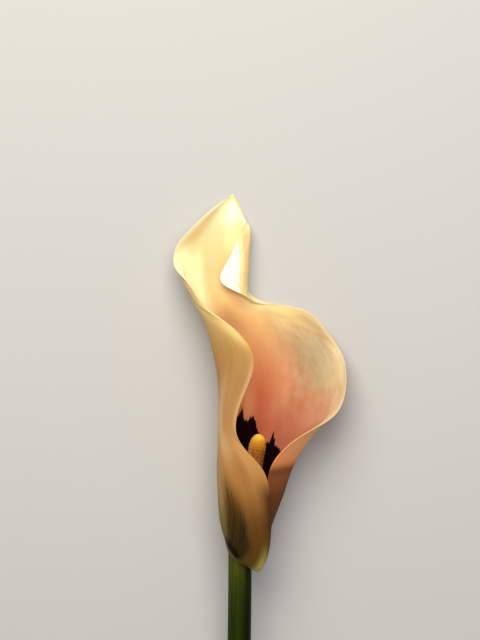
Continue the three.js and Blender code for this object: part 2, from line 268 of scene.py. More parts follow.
class NodeBench:
    """Adds nodes to one node tree, with each input given as a number, a colour or another node's output."""

    def __init__(self, tree: bpy.types.NodeTree) -> None:
        """Start with a tree that may already hold nodes."""
        self.tree = tree

    def add(self, kind: str, inputs: dict[str | int, object] | None = None, **settings: object) -> bpy.types.Node:
        """Add a node.

        Args:
            kind: The node's type name.
            inputs: Values or output sockets by input name or number.
            **settings: The node's own options.

        Returns:
            The new node.
        """
        node = self.tree.nodes.new(kind)
        for option, value in settings.items():
            setattr(node, option, value)
        for key, value in (inputs or {}).items():
            if isinstance(value, Socket):
                self.tree.links.new(value, node.inputs[key])
            else:
                node.inputs[key].default_value = value
        return node

    def math(self, operation: str, *values: object) -> Socket:
        """Combine numbers by a named operation and return the result."""
        return self.add("ShaderNodeMath", dict(enumerate(values)), operation=operation).outputs[0]

    def product(self, first: object, *others: object) -> Socket:
        """Multiply several numbers.

        Args:
            first: The first number.
            *others: The numbers that it is multiplied by, in turn.

        Returns:
            The result's output.
        """
        for other in others:
            first = self.math("MULTIPLY", first, other)
        return first

    def mix(self, share: object, first: object, second: object, blend: str = "MIX") -> Socket:
        """Mix two colours by a share and return the result."""
        inputs = {0: share, 6: first, 7: second}
        return self.add("ShaderNodeMix", inputs, data_type="RGBA", blend_type=blend, clamp_factor=True).outputs[2]

    def ramp(self, position: object, stops: Stops, ease: bool = True) -> Socket:
        """Look a colour up along a ramp.

        Args:
            position: Where to look, from 0 to 1.
            stops: Places and colours in rising order.
            ease: Whether colours flow smoothly through the stops.

        Returns:
            The colour output.
        """
        node = self.add("ShaderNodeValToRGB", {0: position})
        ramp = node.color_ramp
        ramp.interpolation = "B_SPLINE" if ease else "LINEAR"
        ramp.elements[0].position, ramp.elements[0].color = stops[0]
        ramp.elements[1].position, ramp.elements[1].color = stops[-1]
        for place, colour in stops[1:-1]:
            ramp.elements.new(place).color = colour
        return node.outputs[0]

    def between(self, value: object, low: float, high: float) -> Socket:
        """Rise smoothly from 0 to 1 as a value goes from low to high."""
        inputs = {"Value": value, "From Min": low, "From Max": high}
        return self.add("ShaderNodeMapRange", inputs, interpolation_type="SMOOTHSTEP").outputs[0]


def build_noise_group() -> None:
    """Make the shader group that streaks, mottling and cells share: noise at a scaled and shifted place."""
    tree = bpy.data.node_groups.new(NOISE_GROUP, "ShaderNodeTree")
    for label in ("Vector", "Scale", "Shift"):
        tree.interface.new_socket(label, in_out="INPUT", socket_type="NodeSocketVector")
    for label in ("Detail", "Reach"):
        tree.interface.new_socket(label, in_out="INPUT", socket_type="NodeSocketFloat")
    tree.interface.new_socket("Value", in_out="OUTPUT", socket_type="NodeSocketFloat")
    bench = NodeBench(tree)
    given = bench.add("NodeGroupInput").outputs
    terms = {0: given["Vector"], 1: given["Scale"], 2: given["Shift"]}
    place = bench.add("ShaderNodeVectorMath", terms, operation="MULTIPLY_ADD").outputs[0]
    noise = bench.add("ShaderNodeTexNoise", {"Vector": place, "Scale": 1.0, "Detail": given["Detail"]}).outputs[0]
    low, high = (bench.math(way, 0.5, given["Reach"]) for way in ("SUBTRACT", "ADD"))
    bench.add("NodeGroupOutput", {"Value": bench.between(noise, low, high)})


@dataclass(frozen=True)
class Tissue:
    """How a plant tissue takes light: values that are the same all over a surface."""

    roughness: float
    subsurface: float
    depth: float
    gloss: float = 0.3


PETAL = Tissue(roughness=0.5, subsurface=0.15, depth=0.8 * MM, gloss=0.06)


class Finish(NodeBench):
    """A finish and its material: the nodes, the piece's own pattern place and the colour so far."""

    name: str
    tissue: Tissue

    def __init__(self) -> None:
        """Start the material and read the pattern's place, across (or round) and along."""
        self.material = bpy.data.materials.new(self.name)
        self.material.use_nodes = True
        super().__init__(self.material.node_tree)
        self.shader = self.tree.nodes["Principled BSDF"]
        self.shader.inputs["Roughness"].default_value = self.tissue.roughness
        self.shader.inputs["Subsurface Weight"].default_value = self.tissue.subsurface
        self.shader.inputs["Subsurface Radius"].default_value = (1.0, 0.45, 0.2)
        self.shader.inputs["Subsurface Scale"].default_value = self.tissue.depth
        self.shader.inputs["Specular IOR Level"].default_value = self.tissue.gloss
        self.uv = self.add("ShaderNodeUVMap", uv_map="pattern").outputs[0]
        self.across, self.along, _ = self.add("ShaderNodeSeparateXYZ", {0: self.uv}).outputs
        self.colour: object = None

    def lay(self, colour: object, *shares: object, blend: str = "MIX") -> None:
        """Lay a screen colour, or a colour output, over the colour so far by the product of some shares."""
        second = srgb(*colour) if isinstance(colour, tuple) else colour
        self.colour = self.mix(self.product(*shares), self.colour, second, blend)

    def lay_all(self, layers: "tuple[Patch | Band, ...]") -> None:
        """Lay patches and bands over the colour so far, in their order."""
        for layer in layers:
            self.lay(layer.colour, layer.cover(self))

    def noise(self, grain: Grain, place: Socket, scale: tuple, detail: float, seed: float = 0.0) -> Socket:
        """Place the shared noise group and return its value, from 0 to 1."""
        inputs = {"Vector": place, "Scale": scale, "Shift": (0, 0, seed), "Detail": detail, "Reach": grain.value}
        return self.add("ShaderNodeGroup", inputs, node_tree=bpy.data.node_groups[NOISE_GROUP]).outputs[0]

    def streaks(self, across: float, along: float, detail: float, seed: float) -> Socket:
        """Give lengthwise streaks in the piece's own pattern."""
        return self.noise(Grain.STREAKS, self.uv, (across, along, 0), detail, seed)

    def mottle(self, scale: float, detail: float) -> Socket:
        """Give mottling in the piece's own pattern."""
        return self.noise(Grain.MOTTLE, self.uv, (scale, scale, scale), detail)

    def space(self) -> Socket:
        """Give the place in the object's own space."""
        return self.add("ShaderNodeTexCoord").outputs["Object"]

    def cells(self, scale: float) -> Socket:
        """Give fine mottling in the object's own space."""
        return self.noise(Grain.MOTTLE, self.space(), (scale, scale, scale), 2.0)

    def zone(self, across: tuple[Limits, ...] = (), along: tuple[Limits, ...] = (), tilt: Limits = (0, 0)) -> Socket:
        """Multiply smooth rises, each from 0 to 1 between two limits.

        Args:
            across: Pairs of limits across. Where the first is the larger, the rise is a fall.
            along: Pairs of limits along.
            tilt: How much of along is added to across, and of across to along.

        Returns:
            The product.
        """
        way_across = self.math("MULTIPLY_ADD", self.along, tilt[0], self.across)
        way_along = self.math("MULTIPLY_ADD", self.across, tilt[1], self.along)
        rises = [self.between(way_across, *pair) for pair in across]
        return self.product(*rises, *(self.between(way_along, *pair) for pair in along))

    def petal_grain(self) -> Socket:
        """Give the height of a petal's skin: faint lengthwise veins and fine cells."""
        veins = self.streaks(across=90.0, along=5.0, detail=3.0, seed=5.0)
        return self.math("ADD", self.product(veins, 0.6), self.product(self.cells(3500.0), 0.4))

    def bump(self, height: Socket, strength: float, depth: float) -> None:
        """Give the shader a bump of a depth in metres."""
        inputs = {"Height": height, "Strength": strength, "Distance": depth}
        self.tree.links.new(self.add("ShaderNodeBump", inputs).outputs[0], self.shader.inputs["Normal"])

    def paint(self) -> None:
        """Lay the finish's colours and raise its bump, in the class of each finish."""
        raise NotImplementedError

    def build(self) -> bpy.types.Material:
        """Paint the material.

        Returns:
            The finished material.
        """
        self.paint()
        self.tree.links.new(self.colour, self.shader.inputs["Base Color"])
        return self.material


@dataclass(frozen=True)
class Patch:
    """A soft oval patch of colour on a face: its middle and its reach, across and along, and its solid core."""

    middle: tuple[float, float]
    reach: tuple[float, float]
    colour: ScreenColour
    share: float = 1.0
    core: float = 0.1

    def cover(self, finish: Finish) -> Socket:
        """Work out how far the patch covers a place, by its distance from the middle over the reach.

        Args:
            finish: The finish under work.

        Returns:
            The patch's full share in its core and nothing at its reach.
        """
        shift = (-self.middle[0] / self.reach[0], -self.middle[1] / self.reach[1], 0)
        scale = (1 / self.reach[0], 1 / self.reach[1], 0)
        place = finish.add("ShaderNodeMapping", {"Vector": finish.uv, "Location": shift, "Scale": scale})
        distance = finish.add("ShaderNodeVectorMath", {0: place.outputs[0]}, operation="LENGTH").outputs["Value"]
        return finish.product(finish.between(distance, 1.0, self.core), self.share)


@dataclass(frozen=True)
class Band:
    """A soft-edged band of colour on a face: its share, and the limits and tilt of its zone."""

    share: float
    colour: ScreenColour
    across: tuple[Limits, ...] = ()
    along: tuple[Limits, ...] = ()
    tilt: Limits = (0, 0)

    def cover(self, finish: Finish) -> Socket:
        """Give how far the band covers a place."""
        return finish.product(finish.zone(self.across, self.along, self.tilt), self.share)


class InnerFaceFinish(Finish):
    """The spathe's inner face: cream at the top, peach, salmon round the throat, and a dark purple throat, with
    painted light and shade in places.
    """

    name: str = "spathe_inner_face"
    tissue: Tissue = PETAL
    # Salmon near the throat to cream at the tip; the lightening towards the tip is partly painted light.
    blade_tones: Stops = tones(
        (0.27, 182, 86, 56), (0.33, 196, 100, 64), (0.37, 202, 108, 68), (0.41, 208, 122, 76), (0.45, 209, 130, 82),
        (0.49, 216, 150, 92), (0.53, 228, 170, 104), (0.56, 238, 186, 114), (0.62, 244, 204, 132),
        (0.68, 236, 202, 140), (0.80, 230, 210, 148), (0.88, 242, 226, 160), (0.96, 250, 248, 206),
    )
    lobe_tones: Stops = tones(
        (0.33, 168, 78, 52), (0.41, 186, 108, 74), (0.47, 192, 136, 94), (0.53, 192, 148, 100), (0.60, 210, 168, 112),
        (0.68, 228, 188, 124), (0.80, 246, 208, 138),
    )
    lobe_side: Limits = (0.62, 0.74)
    lobe_foot: Limits = (0.30, 0.42)
    ripe_from: float = 0.6
    ripening: float = 0.34
    layers: tuple[Patch | Band, ...] = (
        # The tan middle of the lobe, its tan upper rim, its grey-green bloom and the pale spot at its side.
        Patch((0.805, 0.475), (0.11, 0.10), (172, 138, 94)),
        Patch((0.90, 0.565), (0.20, 0.10), (176, 144, 98)),
        Patch((0.85, 0.487), (0.09, 0.122), (182, 164, 124)),
        Patch((0.95, 0.482), (0.065, 0.078), (232, 220, 172)),
        # Its dull pink lower side.
        Patch((0.95, 0.409), (0.07, 0.05), (206, 168, 130)),
        Patch((0.86, 0.355), (0.11, 0.058), (196, 136, 104)),
        # Its lighter middle, between the bloom and the pale spot, and beside the rib.
        Patch((0.89, 0.458), (0.07, 0.075), (232, 206, 156), share=0.45),
        Patch((0.69, 0.417), (0.068, 0.075), (236, 156, 108), share=0.36),
        # The salmon beside the roll, partly painted light that lifts the roll's shadow, with a redder rib.
        Patch((0.54, 0.365), (0.05, 0.058), (226, 142, 92)),
        Patch((0.592, 0.409), (0.022, 0.097), (206, 100, 66), share=0.14),
        # The lobe's golden upper edge, partly painted light where its rim turns from the lamp.
        Patch((0.80, 0.60), (0.21, 0.10), (255, 222, 146), share=0.6),
        Patch((0.86, 0.65), (0.20, 0.06), (255, 228, 152), share=0.5),
        Patch((0.90, 0.64), (0.16, 0.035), (255, 232, 150), share=0.7),
        Patch((0.84, 0.55), (0.085, 0.04), (196, 158, 106), share=0.8),
        # A stronger salmon beside the throat's right side.
        Patch((0.755, 0.318), (0.05, 0.04), (188, 84, 54), share=0.4),
        # Painted shade in the hollow beside the roll, and painted light on the neck under the flap, against the
        # flap's shadow.
        Patch((0.515, 0.53), (0.085, 0.07), (192, 138, 88), share=0.8),
        Patch((0.62, 0.612), (0.10, 0.05), (255, 220, 156)),
        Patch((0.575, 0.590), (0.07, 0.032), (224, 160, 108), share=0.45),
        Patch((0.68, 0.622), (0.10, 0.04), (255, 248, 180), share=0.95),
        # The pale bulge on the left, partly painted light where it faces the lamp.
        Patch((0.12, 0.775), (0.16, 0.09), (254, 252, 196)),
        # The yellow right side; the whitish tip, partly painted light; and painted light on the strip right of the
        # tip's ridge, where the margin curls up to the lamp.
        Patch((0.60, 0.838), (0.14, 0.07), (252, 238, 174)),
        Patch((0.52, 0.932), (0.16, 0.08), (253, 252, 232)),
        Patch((0.80, 0.93), (0.22, 0.075), (255, 255, 248)),
        # The pale left band, tan painted shade along the curled margin above it, the pale margins and the greenish
        # tip.
        Band(0.95, (252, 247, 188), across=((0.73, 0.65),), along=((0.84, 0.76), (0.50, 0.60)), tilt=(0.45, 0)),
        Band(0.7, (230, 186, 112), across=((0.02, 0.07), (0.26, 0.10)), along=((0.80, 0.885), (0.98, 0.93))),
        Band(0.45, (250, 234, 192), across=((0.95, 1.0),)),
        Band(0.45, (250, 234, 192), across=((0.04, 0.0),)),
        Band(0.8, (220, 226, 140), along=((0.962, 0.988),)),
    )
    throat_edge: Stops = levels(
        (0.0, 0.292), (0.46, 0.330), (0.503, 0.349), (0.512, 0.356), (0.529, 0.334), (0.548, 0.331), (0.557, 0.340),
        (0.564, 0.336), (0.572, 0.342), (0.584, 0.330), (0.602, 0.312), (0.650, 0.278), (0.672, 0.286),
        (0.678, 0.313), (0.688, 0.300), (0.702, 0.285), (0.717, 0.274), (0.73, 0.270), (0.76, 0.267),
        (0.85, 0.258), (1.0, 0.243),
    )
    throat_blur: Limits = (-0.003, 0.002)
    tooth_height: float = 0.010
    streaked: Limits = (0.60, 0.33)
    crinkle_height: float = 5.0
    throat_roughness: float = 0.3

    def paint(self) -> None:
        """Lay tones, layers, fine streaks and clouds, the lobe's specks and then the throat."""
        beyond = self.math("MAXIMUM", self.math("SUBTRACT", self.across, self.ripe_from), 0.0)
        ripe = self.math("MULTIPLY_ADD", beyond, self.ripening, self.along)
        right = self.between(self.across, *self.lobe_side)
        self.colour = self.mix(right, self.ramp(ripe, self.blade_tones), self.ramp(ripe, self.lobe_tones))
        self.lay_all(self.layers)
        streak = self.streaks(across=70.0, along=4.0, detail=3.0, seed=2.0)
        self.lay((206, 96, 64), streak, self.between(self.along, *self.streaked), 0.14)
        self.lay((255, 240, 200), self.mottle(scale=9.0, detail=4.0), 0.1)
        lobe = self.product(right, self.between(self.along, *self.lobe_foot))
        self.lay((150, 104, 66), lobe, 0.06)
        self.lay((255, 246, 210), self.mottle(scale=34.0, detail=5.0), lobe, 0.12)
        dark = self.throat_share()
        self.lay((20, 0, 3), dark)
        roughness = self.math("MULTIPLY_ADD", dark, self.throat_roughness, self.tissue.roughness)
        self.tree.links.new(roughness, self.shader.inputs["Roughness"])
        crinkle = self.product(self.mottle(scale=52.0, detail=2.0), lobe, self.crinkle_height)
        self.bump(self.math("ADD", self.petal_grain(), crinkle), 0.2, 0.08 * MM)

    def throat_share(self) -> Socket:
        """Mask the dark throat, below a toothed edge whose height depends on the place across the blade.

        Returns:
            1 in the throat and 0 above it.
        """
        teeth = self.math("SUBTRACT", self.streaks(across=110.0, along=6.0, detail=4.0, seed=8.0), 0.5)
        edge = self.ramp(self.across, self.throat_edge, ease=False)
        top = self.math("ADD", edge, self.product(teeth, self.tooth_height))
        return self.between(self.math("SUBTRACT", top, self.along), *self.throat_blur)


class OuterFaceFinish(Finish):
    """The spathe's outer face: green at the foot, tan peach on the tube, cream at the top, with dark streaks and
    painted light and shade in places.
    """

    name: str = "spathe_outer_face"
    tissue: Tissue = PETAL
    # Darker towards the foot, partly the tube's own green and brown and partly painted shade; the white of the flap
    # is partly painted light.
    face_tones: Stops = tones(
        (0.0, 92, 96, 26), (0.02, 92, 78, 26), (0.05, 94, 66, 22), (0.10, 98, 66, 22), (0.146, 118, 78, 32),
        (0.204, 184, 128, 66), (0.29, 206, 156, 96), (0.41, 190, 140, 86), (0.487, 194, 145, 84),
        (0.545, 248, 206, 124), (0.62, 246, 214, 150), (0.68, 252, 234, 180), (0.72, 255, 254, 252),
        (0.83, 255, 255, 250), (0.88, 252, 250, 206), (1.0, 240, 240, 180),
    )
    patches: tuple[Patch, ...] = (
        # The tube's browner band and its upper corner, its paler left side and the golden top of the roll, partly
        # painted light where it faces the lamp.
        Patch((0.172, 0.24), (0.06, 0.075), (150, 96, 42), share=0.45),
        Patch((0.115, 0.287), (0.05, 0.04), (150, 96, 42), share=0.22),
        Patch((0.24, 0.345), (0.10, 0.12), (255, 214, 168), share=0.5),
        Patch((0.09, 0.537), (0.09, 0.05), (255, 234, 152), share=0.55),
    )
    # The right wall: painted light, peach, above and painted shadow, brown, below.
    wall_light_and_shade_tones: Stops = tones(
        (0.185, 102, 55, 28), (0.205, 124, 69, 38), (0.225, 136, 76, 42), (0.237, 122, 66, 32), (0.244, 128, 70, 36),
        (0.258, 244, 154, 98), (0.275, 250, 160, 108), (0.30, 255, 178, 120), (0.34, 255, 188, 130),
    )
    bands: tuple[Band, ...] = (
        # The greyer left side of the tube, green at the foot.
        Band(0.6, (186, 154, 110), across=((0.27, 0.34), (0.60, 0.45)), along=((0.36, 0.27),)),
        Band(0.85, (102, 98, 32), across=((0.27, 0.34), (0.60, 0.45)), along=((0.185, 0.078),)),
        # The outer margin: yellow-green at the foot's corner; dark along the tube, partly painted shade; a painted
        # highlight along the roll; then tan painted shade where it turns from the light.
        Band(0.8, (196, 184, 96), across=((0.115, 0.04),), along=((0.11, 0.055),)),
        Band(0.9, (76, 46, 18), across=((0.15, 0.02),), along=((0.10, 0.14), (0.235, 0.185))),
        Band(0.6, (240, 194, 140), across=((0.06, 0.0),), along=((0.31, 0.36), (0.50, 0.45))),
        Band(0.9, (190, 156, 108), across=((0.20, 0.10),), along=((0.61, 0.65), (0.79, 0.74))),
    )
    flap_border: Stops = levels(
        (0.0, 1.02), (0.728, 1.02), (0.743, 0.955), (0.771, 0.895), (0.796, 0.893), (0.819, 0.912), (0.843, 0.957),
        (0.866, 0.995), (0.89, 1.02), (1.0, 1.02),
    )
    flap_side: Limits = (-0.006, 0.012)
    flap_bend: Limits = (0.024, 0.046)
    smear_limit: Stops = levels(
        (0.0, 0.19), (0.044, 0.176), (0.06, 0.163), (0.075, 0.150), (0.09, 0.171), (0.104, 0.189), (0.128, 0.211),
        (0.15, 0.222), (0.20, 0.247), (0.243, 0.275), (1.0, 0.5),
    )
    smear_edge: Limits = (-0.03, 0.032)
    smear_fade: float = -2.0
    smear_start: float = 1.02
    fine_dashes: Limits = (0.35, 0.75)
    broad_dashes: Limits = (0.1, 0.8)
    foot_bands: tuple[Band, ...] = (
        # The green strip at the foot's edge and the black wedge above it.
        Band(0.9, (104, 96, 34), across=((0.11, 0.15), (0.36, 0.32)), along=((0.004, -0.008),), tilt=(0, -0.18)),
        Band(0.95, (16, 16, 0), across=((0.17, 0.21), (0.365, 0.295)), along=((0.022, 0.008), (-0.014, -0.005)),
             tilt=(0, -0.18)),
    )

    def paint(self) -> None:
        """Lay tones, patches, the wall's painted light and shadow, the margins with their painted highlight and
        shade, the flap's painted shade, streaks and then the foot.
        """
        self.colour = self.ramp(self.along, self.face_tones)
        self.lay_all(self.patches)
        # Painted light on the upper wall and painted shadow on the lower wall.
        wall = self.zone(across=((0.72, 0.86),), along=((0.41, 0.33),))
        self.lay(self.ramp(self.along, self.wall_light_and_shade_tones), wall, 0.95)
        self.lay_all(self.bands)
        self.add_flap_shade()
        streak = self.streaks(across=60.0, along=3.0, detail=3.0, seed=11.0)
        self.lay((190, 132, 84), streak, 0.12, blend="MULTIPLY")
        self.add_dashes()
        self.lay_all(self.foot_bands)
        self.bump(self.petal_grain(), 0.25, 0.08 * MM)

    def add_flap_shade(self) -> None:
        """Paint shade on the white flap's right side: yellow, then tan where it bends round to the back, away from
        the light.
        """
        upper = self.zone(across=((0.74, 0.80),), along=((0.68, 0.71),))
        inward = self.math("SUBTRACT", self.ramp(self.along, self.flap_border, ease=False), self.across)
        # Painted shade: yellow, then tan, on the flap's right side, which turns from the light.
        self.lay((252, 238, 168), upper, self.between(inward, *self.flap_side))
        ends = self.zone(along=((0.725, 0.75), (0.905, 0.875)))
        self.lay((238, 204, 150), upper, self.between(inward, *self.flap_bend), ends, 0.85)

    def add_dashes(self) -> None:
        """Lay the dark smear and the fine purple-brown dashes over the left side of the tube."""
        lean = self.math("SUBTRACT", self.across, self.ramp(self.along, self.smear_limit, ease=False))
        low = self.zone(across=((0.335, 0.27),), along=((0.258, 0.13), (0.012, 0.05)))
        zone = self.product(self.between(lean, *self.smear_edge), low)
        fine = self.streaks(across=190.0, along=14.0, detail=4.0, seed=17.0)
        broad = self.streaks(across=70.0, along=4.0, detail=2.0, seed=19.0)
        dashes = self.product(self.between(fine, *self.fine_dashes), self.between(broad, *self.broad_dashes))
        self.lay((50, 38, 8), zone, self.math("MULTIPLY_ADD", self.along, self.smear_fade, self.smear_start))
        self.lay((30, 20, 4), zone, dashes, 0.9)


class FloretFinish(Finish):
    """The spadix: powdery gold florets with orange-brown between them, darker towards the foot; both partly painted
    shade, with one side partly painted light.
    """

    name: str = "spadix_florets"
    tissue: Tissue = Tissue(roughness=0.8, subsurface=0.1, depth=0.5 * MM)
    # Darker towards the foot: partly the florets' own orange-brown, partly painted shade deep in the throat.
    crown_tones: Stops = tones(
        (0.0, 140, 120, 40), (0.70, 118, 54, 4), (0.82, 130, 62, 4), (0.86, 140, 68, 4), (0.89, 172, 98, 8),
        (0.93, 190, 122, 14), (0.965, 234, 178, 46), (1.0, 252, 212, 96),
    )
    cleft_shade: Limits = (0.8, 0.3)
    lit_powdered_side: Limits = (0.60, 0.88)

    def paint(self) -> None:
        """Lay tones, mottling, painted shade in the clefts between florets, and a lighter side that is partly powder
        and partly painted light.
        """
        self.colour = self.ramp(self.along, self.crown_tones)
        relief = self.add("ShaderNodeAttribute", attribute_name="relief").outputs["Fac"]
        self.lay((242, 184, 60), self.mottle(scale=40.0, detail=3.0), 0.2)
        # Painted shade in the clefts between the florets.
        self.lay((160, 88, 14), self.between(relief, *self.cleft_shade), 0.2)
        # A lighter side: partly pollen, partly painted light on the side towards the lamp.
        self.lay((240, 178, 104), self.between(self.across, *self.lit_powdered_side), 0.4)
        self.bump(self.cells(5000.0), 0.5, 0.06 * MM)


class StemFinish(Finish):
    """The stem's skin: dark green with paler lengthwise streaks, a slight wax sheen and painted shade down one side.
    """

    name: str = "stem_skin"
    tissue: Tissue = Tissue(roughness=0.4, subsurface=0.05, depth=0.8 * MM, gloss=0.05)
    skin_tones: Stops = tones(
        (0.0, 96, 90, 24), (0.045, 84, 86, 20), (0.08, 64, 74, 12), (0.12, 48, 60, 5), (0.2, 30, 43, 1),
        (0.5, 30, 43, 1), (1.0, 46, 62, 6),
    )
    shaded_side: Limits = (0.56, 0.20)

    def paint(self) -> None:
        """Lay tones, pale and dark streaks, and painted shade down the side turned from the light."""
        self.colour = self.ramp(self.along, self.skin_tones)
        pale = self.streaks(across=14.0, along=1.5, detail=4.0, seed=31.0)
        self.lay((66, 80, 16), pale, 0.4)
        dark = self.streaks(across=34.0, along=6.0, detail=3.0, seed=37.0)
        self.lay((24, 32, 6), dark, 0.5)
        # Painted shade down the side turned from the light.
        self.lay((10, 14, 1), self.between(self.across, *self.shaded_side), 0.85)
        self.bump(self.streaks(across=50.0, along=3.0, detail=4.0, seed=41.0), 0.3, 0.1 * MM)


class CutFinish(Finish):
    """The stem's cut face: pale moist green, with a darker skin and tiny strands."""

    name: str = "stem_cut_face"
    tissue: Tissue = Tissue(roughness=0.3, subsurface=0.3, depth=1.5 * MM)
    flesh: ScreenColour = (206, 216, 150)
    strand_scale: float = 1300.0
    strand_edge: Limits = (0.32, 0.12)
    skin_edge: Limits = (0.12, 0.0)

    def paint(self) -> None:
        """Lay the flesh, the ends of its strands and the skin round it."""
        inputs = {"Vector": self.space(), "Scale": self.strand_scale}
        strands = self.add("ShaderNodeTexVoronoi", inputs).outputs["Distance"]
        dot = self.between(strands, *self.strand_edge)
        self.colour = srgb(*self.flesh)
        self.lay((150, 166, 84), dot, 0.6)
        self.lay((96, 118, 44), self.between(self.along, *self.skin_edge))
        self.bump(dot, 0.4, 0.1 * MM)


@dataclass
class Spathe:
    """The one large leaf: two faces a blade's thickness apart, thinned and rounded at its margins."""

    thickness: float = 0.95 * MM
    margin_thickness: float = 0.42 * MM
    margin_width: float = 0.12
    rounding: float = 0.006
    edge_lines: tuple[float, ...] = (0, 0.08, 0.25, 0.55, 1.0)
    least_edge: float = 0.02
    foot_share: float = 0.3
    foot_reach: float = 0.03
    foot_overlap: float = 0.45 * MM
    overlap_reach: float = 0.035
    outer_overlap: float = 0.9
    rest_lift: float = 1.2
    rows: int = 250
    columns: int = 150
    inner_finish: type[Finish] = InnerFaceFinish
    outer_finish: type[Finish] = OuterFaceFinish

    def net(self) -> np.ndarray:
        """Put the whole net together: a ring at the foot, the listed rows, and a small arch at the tip.

        Returns:
            Points in net units as (row, column, axis).
        """
        turns = np.radians(FOOT_TURNS)
        right = FOOT_RADIUS * np.cos(turns)
        foot = np.stack([right, foot_along(right), -FOOT_RADIUS * np.sin(turns)], axis=1)
        arch = np.linspace(-1, 1, len(FOOT_TURNS))
        tip = [TIP_RIGHT + TIP_HALF_WIDTH * arch, TIP_ALONG - TIP_RISE * arch**2, np.full_like(arch, TIP_UP)]
        return np.concatenate([foot[None], np.array(SPATHE_ROWS, float), np.stack(tip, axis=1)[None]])

    def spacing(self, count: int) -> np.ndarray:
        """Place grid lines, with a few close together at both ends for the rounded edge.

        Args:
            count: How many lines.

        Returns:
            Their places from 0 to 1.
        """
        close = self.rounding * np.array(self.edge_lines)
        wide = np.linspace(self.rounding, 1 - self.rounding, count - 2 * len(close) + 2)[1:-1]
        return np.concatenate([close, wide, 1 - close[::-1]])

    def middle(self, along: np.ndarray, across: np.ndarray) -> np.ndarray:
        """Place the blade's middle surface.

        A natural cubic spline runs along each column of the net, and another across the points that they give.

        Args:
            along: Shares of the way from foot to tip.
            across: Shares of the way from the outer to the inner margin.

        Returns:
            Points in metres as (along, across, axis).
        """
        net = self.net()
        along_weights = spline_weights(shared_knots(net.transpose(1, 0, 2)), along)
        across_weights = spline_weights(shared_knots(net[:-1]), across)
        return np.einsum("va,ub,abk->vuk", along_weights, across_weights, net) * UNIT

    def faces(self, along: np.ndarray, across: np.ndarray) -> tuple[np.ndarray, np.ndarray]:
        """Place the inner and the outer face, half a thickness to each side of the middle surface.

        The normal is the cross product of the ways across and along. The thickness eases down towards the margins
        and then closes as a half ellipse: sqrt(1 - (1 - d)^2). The underside is flat where it rests. At the foot the
        blade is thinner still and grips the stem.

        Args:
            along: Shares of the way from foot to tip.
            across: Shares of the way from the outer to the inner margin.

        Returns:
            Each face's points in metres as (along, across, axis).
        """
        nudge = 1e-4
        middle = self.middle(along, across)
        across_way = self.middle(along, across + nudge) - self.middle(along, across - nudge)
        along_way = self.middle(along + nudge, across) - self.middle(along - nudge, across)
        normal = np.cross(across_way, along_way)
        normal /= np.linalg.norm(normal, axis=2, keepdims=True)
        from_side = np.minimum(across, 1 - across)[None, :]
        from_end = np.minimum(along, 1 - along)[:, None]
        body = smoothstep(np.minimum(from_side, from_end) / self.margin_width)
        edge = np.clip(np.minimum(from_side, 1 - along[:, None]) / self.rounding, self.least_edge, 1)
        roundness = np.sqrt(1 - (1 - edge) ** 2)
        half = (self.margin_thickness + (self.thickness - self.margin_thickness) * body) * roundness / 2
        half = half * (self.foot_share + (1 - self.foot_share) * smoothstep(along / self.foot_reach))[:, None]
        grip = self.foot_overlap * (1 - smoothstep(along / self.overlap_reach))[:, None]
        inner = middle + normal * (half + grip)[..., None] + ORIGIN_SHIFT
        outer = middle - normal * (half - self.outer_overlap * grip)[..., None] + ORIGIN_SHIFT
        inner[..., 2] = np.maximum(inner[..., 2], self.rest_lift * half)
        outer[..., 2] = np.maximum(outer[..., 2], 0)
        return inner, outer

    def build(self) -> bpy.types.Object:
        """Build the spathe and dress its two faces. The outer finish covers the edge as well.

        Returns:
            The finished piece.
        """
        along, across = self.spacing(self.rows), self.spacing(self.columns)
        inner, outer = self.faces(along, across)
        grid = np.arange(len(along) * len(across)).reshape(len(along), len(across))
        back = grid + grid.size
        edges = ((grid[:, 0], back[:, 0]), (back[:, -1], grid[:, -1]), (back[0], grid[0]), (grid[-1], back[-1]))
        inner_quads = grid_quads(grid)
        outer_quads = [grid_quads(back)[:, ::-1], *(grid_quads(np.stack(pair)) for pair in edges)]
        quads = np.concatenate([inner_quads, *outer_quads])
        slots = np.where(np.arange(len(quads)) < len(inner_quads), 0, 1)
        uv = np.stack(np.meshgrid(across, along), axis=-1).reshape(-1, 2)
        points = np.concatenate([inner.reshape(-1, 3), outer.reshape(-1, 3)])
        materials = [self.inner_finish().build(), self.outer_finish().build()]
        return mesh_piece("spathe_blade", points, quads.tolist(), np.concatenate([uv, uv]), materials, slots)


